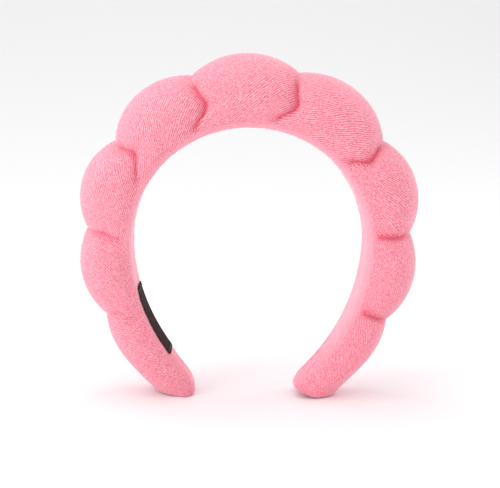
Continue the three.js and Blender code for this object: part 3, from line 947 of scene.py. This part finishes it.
def build_end_seams():
    """The short seam that closes each end."""
    across = np.linspace(-END_SEAM_HALF, END_SEAM_HALF, END_SEAM_POINTS)
    upward = np.tile([0.0, 0, 1], (END_SEAM_POINTS, 1))
    for side, sign in SIDES:
        path = drape(sign * END_SEAM_AT + 0 * across, across, END_SEAM_LEVEL + 0 * across)
        piece = grid_piece(f"end_seam_thread_{side}", cord_grid(path, upward, THREAD_RADIUS))
        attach(piece, f"{side}_end")
        finish(piece, "thread", [f"{side}_end_seam"])


label_s, label_u = node_band("label_ribbon")[:2]
LABEL_SPAN = (float(np.abs(label_s).min()), float(np.abs(label_s).max()))
LABEL_HALF = float(np.abs(label_u).max())
LABEL_COLUMNS = 160
LABEL_LIFT = 0.12 * MM
LABEL_THICKNESS = 0.45 * MM
LABEL_TOP = -LINING_SAG - LABEL_LIFT
LABEL_FOLD = 3.2 * MM
LABEL_FOLD_RISE = 0.1 * MM
LABEL_RIPPLE = 0.12 * MM
RIPPLE_LENGTH = 6.1 * MM
RIPPLE_DEPTH = 9 * MM
LABEL_EDGE = (0.55, 1.05)
STITCH_INSET = 2 * MM
STITCH_LENGTH = 2.1 * MM
STITCH_GAP = 0.8 * MM
STITCH_POINTS = 12
STITCH_BOW = 0.16 * MM
STITCH_OFF = (0.3, 0, 1.0)


def label_sag(s, u):
    """How the label lies: it follows the lining, with a ripple and folded ends that stand off a little."""
    away = np.minimum(np.abs(s) - LABEL_SPAN[0], LABEL_SPAN[1] - np.abs(s))
    ripple = LABEL_RIPPLE * np.sin(np.abs(s) / RIPPLE_LENGTH) * np.cos(u / RIPPLE_DEPTH)
    edge = LINING_SAG / 2 * smoothstep(*LABEL_EDGE, np.abs(u) / base_half(s))
    turned = settle(s, 0 * s)[1]
    return ripple + turned + edge - LABEL_FOLD_RISE * (away < LABEL_FOLD)


def stitch_grid(at, start):
    """One stitch across the label, at a path length on the left arm and from a depth."""
    u = np.linspace(start, start + STITCH_LENGTH, STITCH_POINTS)
    s = -at + 0 * u
    bow = STITCH_BOW * np.sin(np.linspace(0, math.pi, STITCH_POINTS))
    path = place(s, u, LABEL_TOP - LABEL_THICKNESS + label_sag(s, u) - bow)
    return cord_grid(path, np.tile(STITCH_OFF, (STITCH_POINTS, 1)), THREAD_RADIUS)


def build_label():
    """The ribbon on the left arm's inner face, with a row of stitches near each end."""
    stations = -np.linspace(LABEL_SPAN[1], LABEL_SPAN[0], LABEL_COLUMNS)
    grid = bar_grid(stations, LABEL_HALF, LABEL_TOP - LABEL_THICKNESS, LABEL_TOP, label_sag)
    piece = grid_piece("label_ribbon_face", grid)
    stretch = (-1, 3, "left_low", "left_end")
    finish_bent(piece, "label", *stretch, ["label_ribbon"])
    starts = np.arange(-LABEL_HALF + STITCH_GAP, LABEL_HALF - STITCH_LENGTH, STITCH_LENGTH + STITCH_GAP)
    for name, at in (("upper", LABEL_SPAN[0] + STITCH_INSET), ("lower", LABEL_SPAN[1] - STITCH_INSET)):
        piece = merged_piece(f"label_stitches_{name}", [stitch_grid(at, start) for start in starts])
        finish_bent(piece, "label_thread", *stretch, [f"label_stitch_{name}"])


# ---------------------------------------------------------------------------------------------------
# Inside: hoop, tape, ties and foam
# ---------------------------------------------------------------------------------------------------

HOOP_LEVELS = (2.3 * MM, 4.1 * MM)
HOOP_HALVES = (9.5 * MM, 5.5 * MM)
HOOP_TAPER = (138 * MM, 154 * MM)
HOOP_END = 168.4 * MM
TAPE_LEVELS = (4.45 * MM, 5.95 * MM)
TAPE_HALF = 9 * MM
TAPE_END = 136 * MM
BAR_STEP = 1 * MM


def build_hoop():
    """The springy hoop and the foam tape on its outer face."""
    stations = np.linspace(-HOOP_END, HOOP_END, 2 * int(HOOP_END / BAR_STEP) + 1)
    half = HOOP_HALVES[0] + (HOOP_HALVES[1] - HOOP_HALVES[0]) * smoothstep(*HOOP_TAPER, np.abs(stations))
    grid = bar_grid(stations, half, *HOOP_LEVELS)
    banded_pieces("hoop", stations, grid, {}, "hoop_plastic", lambda *stretch: ["hoop_core"])
    stations = np.linspace(-TAPE_END, TAPE_END, 2 * int(TAPE_END / BAR_STEP) + 1)
    grid = bar_grid(stations, TAPE_HALF, *TAPE_LEVELS)
    banded_pieces("hoop_tape", stations, grid, {}, "tape_foam", lambda *stretch: ["hoop_tape"])


TIE_DEPTH = 1.1 * MM
TIE_RADIUS = 0.35 * MM
TIE_FLOOR = 1.4 * MM
TIE_FLOOR_INSET = 2.5 * MM
TIE_FLOOR_POINTS = 22
TIE_TRIM = 6
TIE_STRIDE = 3


def build_ties(form):
    """The thread in each groove: just under the terry along the crease, and back under the hoop."""
    s, u, n, hem, soft, _ = form
    rows = np.flatnonzero(hem == 0)[TIE_TRIM:-TIE_TRIM:TIE_STRIDE]
    lines = crease_lines(u, n)
    inner = soft - surface_normals(soft) * TIE_DEPTH
    across = np.linspace(1, -1, TIE_FLOOR_POINTS + 2)[1:-1]
    for side, sign, number, body, next_body in arm_bodies():
        index = len(PUFFS) + number if sign > 0 else len(PUFFS) - 1 - number
        at = GROOVE_PLACES[index]
        columns = np.argmin(np.abs(s - lines[index]), axis=0)[rows]
        path = inner[columns, rows]
        reach = float(base_half(at)) - TIE_FLOOR_INSET
        under = place(at + 0 * across, across * reach, TIE_FLOOR + 0 * across)
        path = np.concatenate([path, under, path[:1]])
        angle = float(arc_at(at)[3])
        band = np.tile([math.cos(angle), 0, -math.sin(angle)], (len(path), 1))
        piece = grid_piece(f"tie_thread_{side}_{number + 1}", cord_grid(path, band, TIE_RADIUS))
        finish_bent(piece, "thread", sign, number, body, next_body, [f"{side}_tie_{number + 1}"])


FOAM_FLOOR = 6.4 * MM
FOAM_INSET = 3.4 * MM
FOAM_GAP = 2.2 * MM
FOAM_COLUMNS = 44
FOAM_ROWS = 56
FOAM_FLOOR_ROWS = 13
# The foam keeps clear of the sleeve's deepest place within these steps along the band.
FOAM_LOOK = np.linspace(-5, 5, 11) * MM
FOAM_ENDS = [0, 0.6, 0.86, 0.96]
FOAM_LIFT = 2.4 * MM
FOAM_PORES = 0.22 * MM


def foam_grid(low, high, rng):
    """A closed block of foam between two path lengths, clear of the sleeve all round."""
    stations = np.linspace(low, high, FOAM_COLUMNS)
    turn = np.linspace(1, 0, FOAM_ROWS)
    s, turn_grid = np.meshgrid(stations, turn, indexing="ij")
    u, n = section(s, turn_grid, 0 * turn_grid)
    sink = np.max([grooved(s + step, u, n)[0] for step in FOAM_LOOK], axis=(0, 2))[:, None]
    height, half = crest_height(s), crest_half(s)
    u = u * (half - FOAM_INSET - SIDE_SHARE * sink) / half
    n = FOAM_FLOOR + n * (height - FOAM_INSET - sink - FOAM_FLOOR) / height
    floor_u = u[:, -1:] + (u[:, :1] - u[:, -1:]) * np.linspace(0, 1, FOAM_FLOOR_ROWS + 1)[1:]
    u = np.concatenate([u, floor_u], 1)
    n = np.concatenate([n, n[:, -1:] + 0 * floor_u], 1)
    size = np.ones(FOAM_COLUMNS)
    size[: len(FOAM_ENDS)] = FOAM_ENDS
    size[-len(FOAM_ENDS) :] = FOAM_ENDS[::-1]
    middle = n.mean(axis=1, keepdims=True)
    points = drape(stations[:, None], u * size[:, None], middle + (n - middle) * size[:, None])
    pores = rng.standard_normal(points.shape[:2])
    pores[:, -1] = pores[:, 0]
    points += surface_normals(points) * (FOAM_PORES * pores * (size[:, None] > 0))[..., None]
    points[..., 2] = np.maximum(points[..., 2], sole(points[..., 0]) + FOAM_LIFT)
    return points


def build_foam():
    """The block of foam in each puff."""
    rng = np.random.default_rng(SEED + 3)
    left, right = np.split(GROOVE_PLACES, 2)
    spans = {"crown": (left[-1], right[0])}
    for side, sign in SIDES:
        ends = np.append(right if sign > 0 else -left[::-1], TIP_AT - TIP_ROUNDING / 2)
        for number, puff in enumerate(PUFFS):
            spans[f"{side}_{puff}"] = tuple(sorted(sign * ends[number : number + 2]))
    for body, (low, high) in spans.items():
        piece = grid_piece(f"{body}_filling", foam_grid(low + FOAM_GAP, high - FOAM_GAP, rng))
        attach(piece, body)
        finish(piece, "foam", [f"{body}_foam"])


form = sleeve_form()
build_sleeve(form)
build_lining()
build_seams()
build_end_seams()
build_label()
build_hoop()
build_ties(form)
build_foam()

# ---------------------------------------------------------------------------------------------------
# The CAD nodes' materials. The two tip guards are the nodes that no piece above stands for.
# ---------------------------------------------------------------------------------------------------

slots = {part["node"]: part["material_slot"] for part in frame["record"]["subparts"]}
for name, node in frame["nodes"].items():
    node.data.materials.clear()
    node.data.materials.append(MATERIALS[slots[name]])

# ---------------------------------------------------------------------------------------------------
# Floor, light and camera
# ---------------------------------------------------------------------------------------------------

FLOOR_WIDTH = 6
FLOOR_FRONT = -3
WALL_BEND_AT = 0.6
WALL_BEND = 2
WALL_BEND_POINTS = 24
WALL_TOP = 5


def build_floor():
    """A pale floor that curves up into a wall behind, so that no horizon shows in the photo's view."""
    turn = np.linspace(0, math.pi / 2, WALL_BEND_POINTS)
    bend = WALL_BEND_AT + WALL_BEND * np.sin(turn)
    y = np.concatenate([[FLOOR_FRONT, 0], bend, [WALL_BEND_AT + WALL_BEND]])
    z = np.concatenate([[0, 0], WALL_BEND * (1 - np.cos(turn)), [WALL_TOP]])
    x = np.linspace(FLOOR_WIDTH / 2, -FLOOR_WIDTH / 2, 3)
    grid = np.stack(np.broadcast_arrays(x[:, None], y[None, :], z[None, :]), -1)
    floor = grid_piece("floor", grid)
    m = Nodes("floor")
    m.set(Base_Color=(0.93, 0.925, 0.93), Roughness=0.8)
    m.bump(m.noise(scale=40), strength=0.02, distance=0.001)
    floor.data.materials.append(m.material)


WORLD_STRENGTH = 0.85
# Name, place, size and power of the lamps, which all point at the middle of the arch.
LAMPS = (
    ("key", (-0.9, -0.7, 0.5), 0.7, 4.2),
    ("top", (-0.4, 0.05, 1.2), 1, 4.6),
    ("rim", (1.0, 0.3, 0.45), 0.7, 2.4),
)
LAMP_AIM = Vector((0, 0, 0.09))


def build_lights():
    """A pale world and three soft lamps."""
    scene = bpy.context.scene
    world = bpy.data.worlds.new("studio")
    world.use_nodes = True
    background = world.node_tree.nodes["Background"]
    background.inputs["Color"].default_value = (1, 0.995, 1, 1)
    background.inputs["Strength"].default_value = WORLD_STRENGTH
    scene.world = world
    for name, lamp_at, size, power in LAMPS:
        light = bpy.data.lights.new(name, "AREA")
        light.size = size
        light.energy = power
        lamp = bpy.data.objects.new(name, light)
        lamp.location = lamp_at
        lamp.rotation_euler = (LAMP_AIM - Vector(lamp_at)).to_track_quat("-Z", "Y").to_euler()
        scene.collection.objects.link(lamp)
    scene.view_settings.view_transform = "Standard"


# The photo's view: its angle, and the focal length in pixels of its width.
CAMERA_DISTANCE = 0.55
CAMERA_AZIMUTH = math.radians(-1.75)
CAMERA_ELEVATION = math.radians(10.5)
CAMERA_ROLL = math.radians(1.5)
CAMERA_TARGET = (0.0006, 0, 0.0801)
PICTURE_WIDTH = 500
FOCAL_PIXELS = 1062
SENSOR_WIDTH = 36


def build_camera():
    """The camera at the photo's angle."""
    data = bpy.data.cameras.new("camera")
    data.sensor_width = SENSOR_WIDTH
    data.lens = FOCAL_PIXELS / PICTURE_WIDTH * SENSOR_WIDTH
    data.clip_start = 0.01
    camera = bpy.data.objects.new("camera", data)
    level = math.cos(CAMERA_ELEVATION)
    x, y = math.sin(CAMERA_AZIMUTH) * level, -math.cos(CAMERA_AZIMUTH) * level
    back = Vector((x, y, math.sin(CAMERA_ELEVATION)))
    camera.location = Vector(CAMERA_TARGET) + CAMERA_DISTANCE * back
    turned = (-back).to_track_quat("-Z", "Y") @ Quaternion((0, 0, 1), CAMERA_ROLL)
    camera.rotation_euler = turned.to_euler()
    bpy.context.scene.collection.objects.link(camera)
    bpy.context.scene.camera = camera


build_floor()
build_lights()
build_camera()
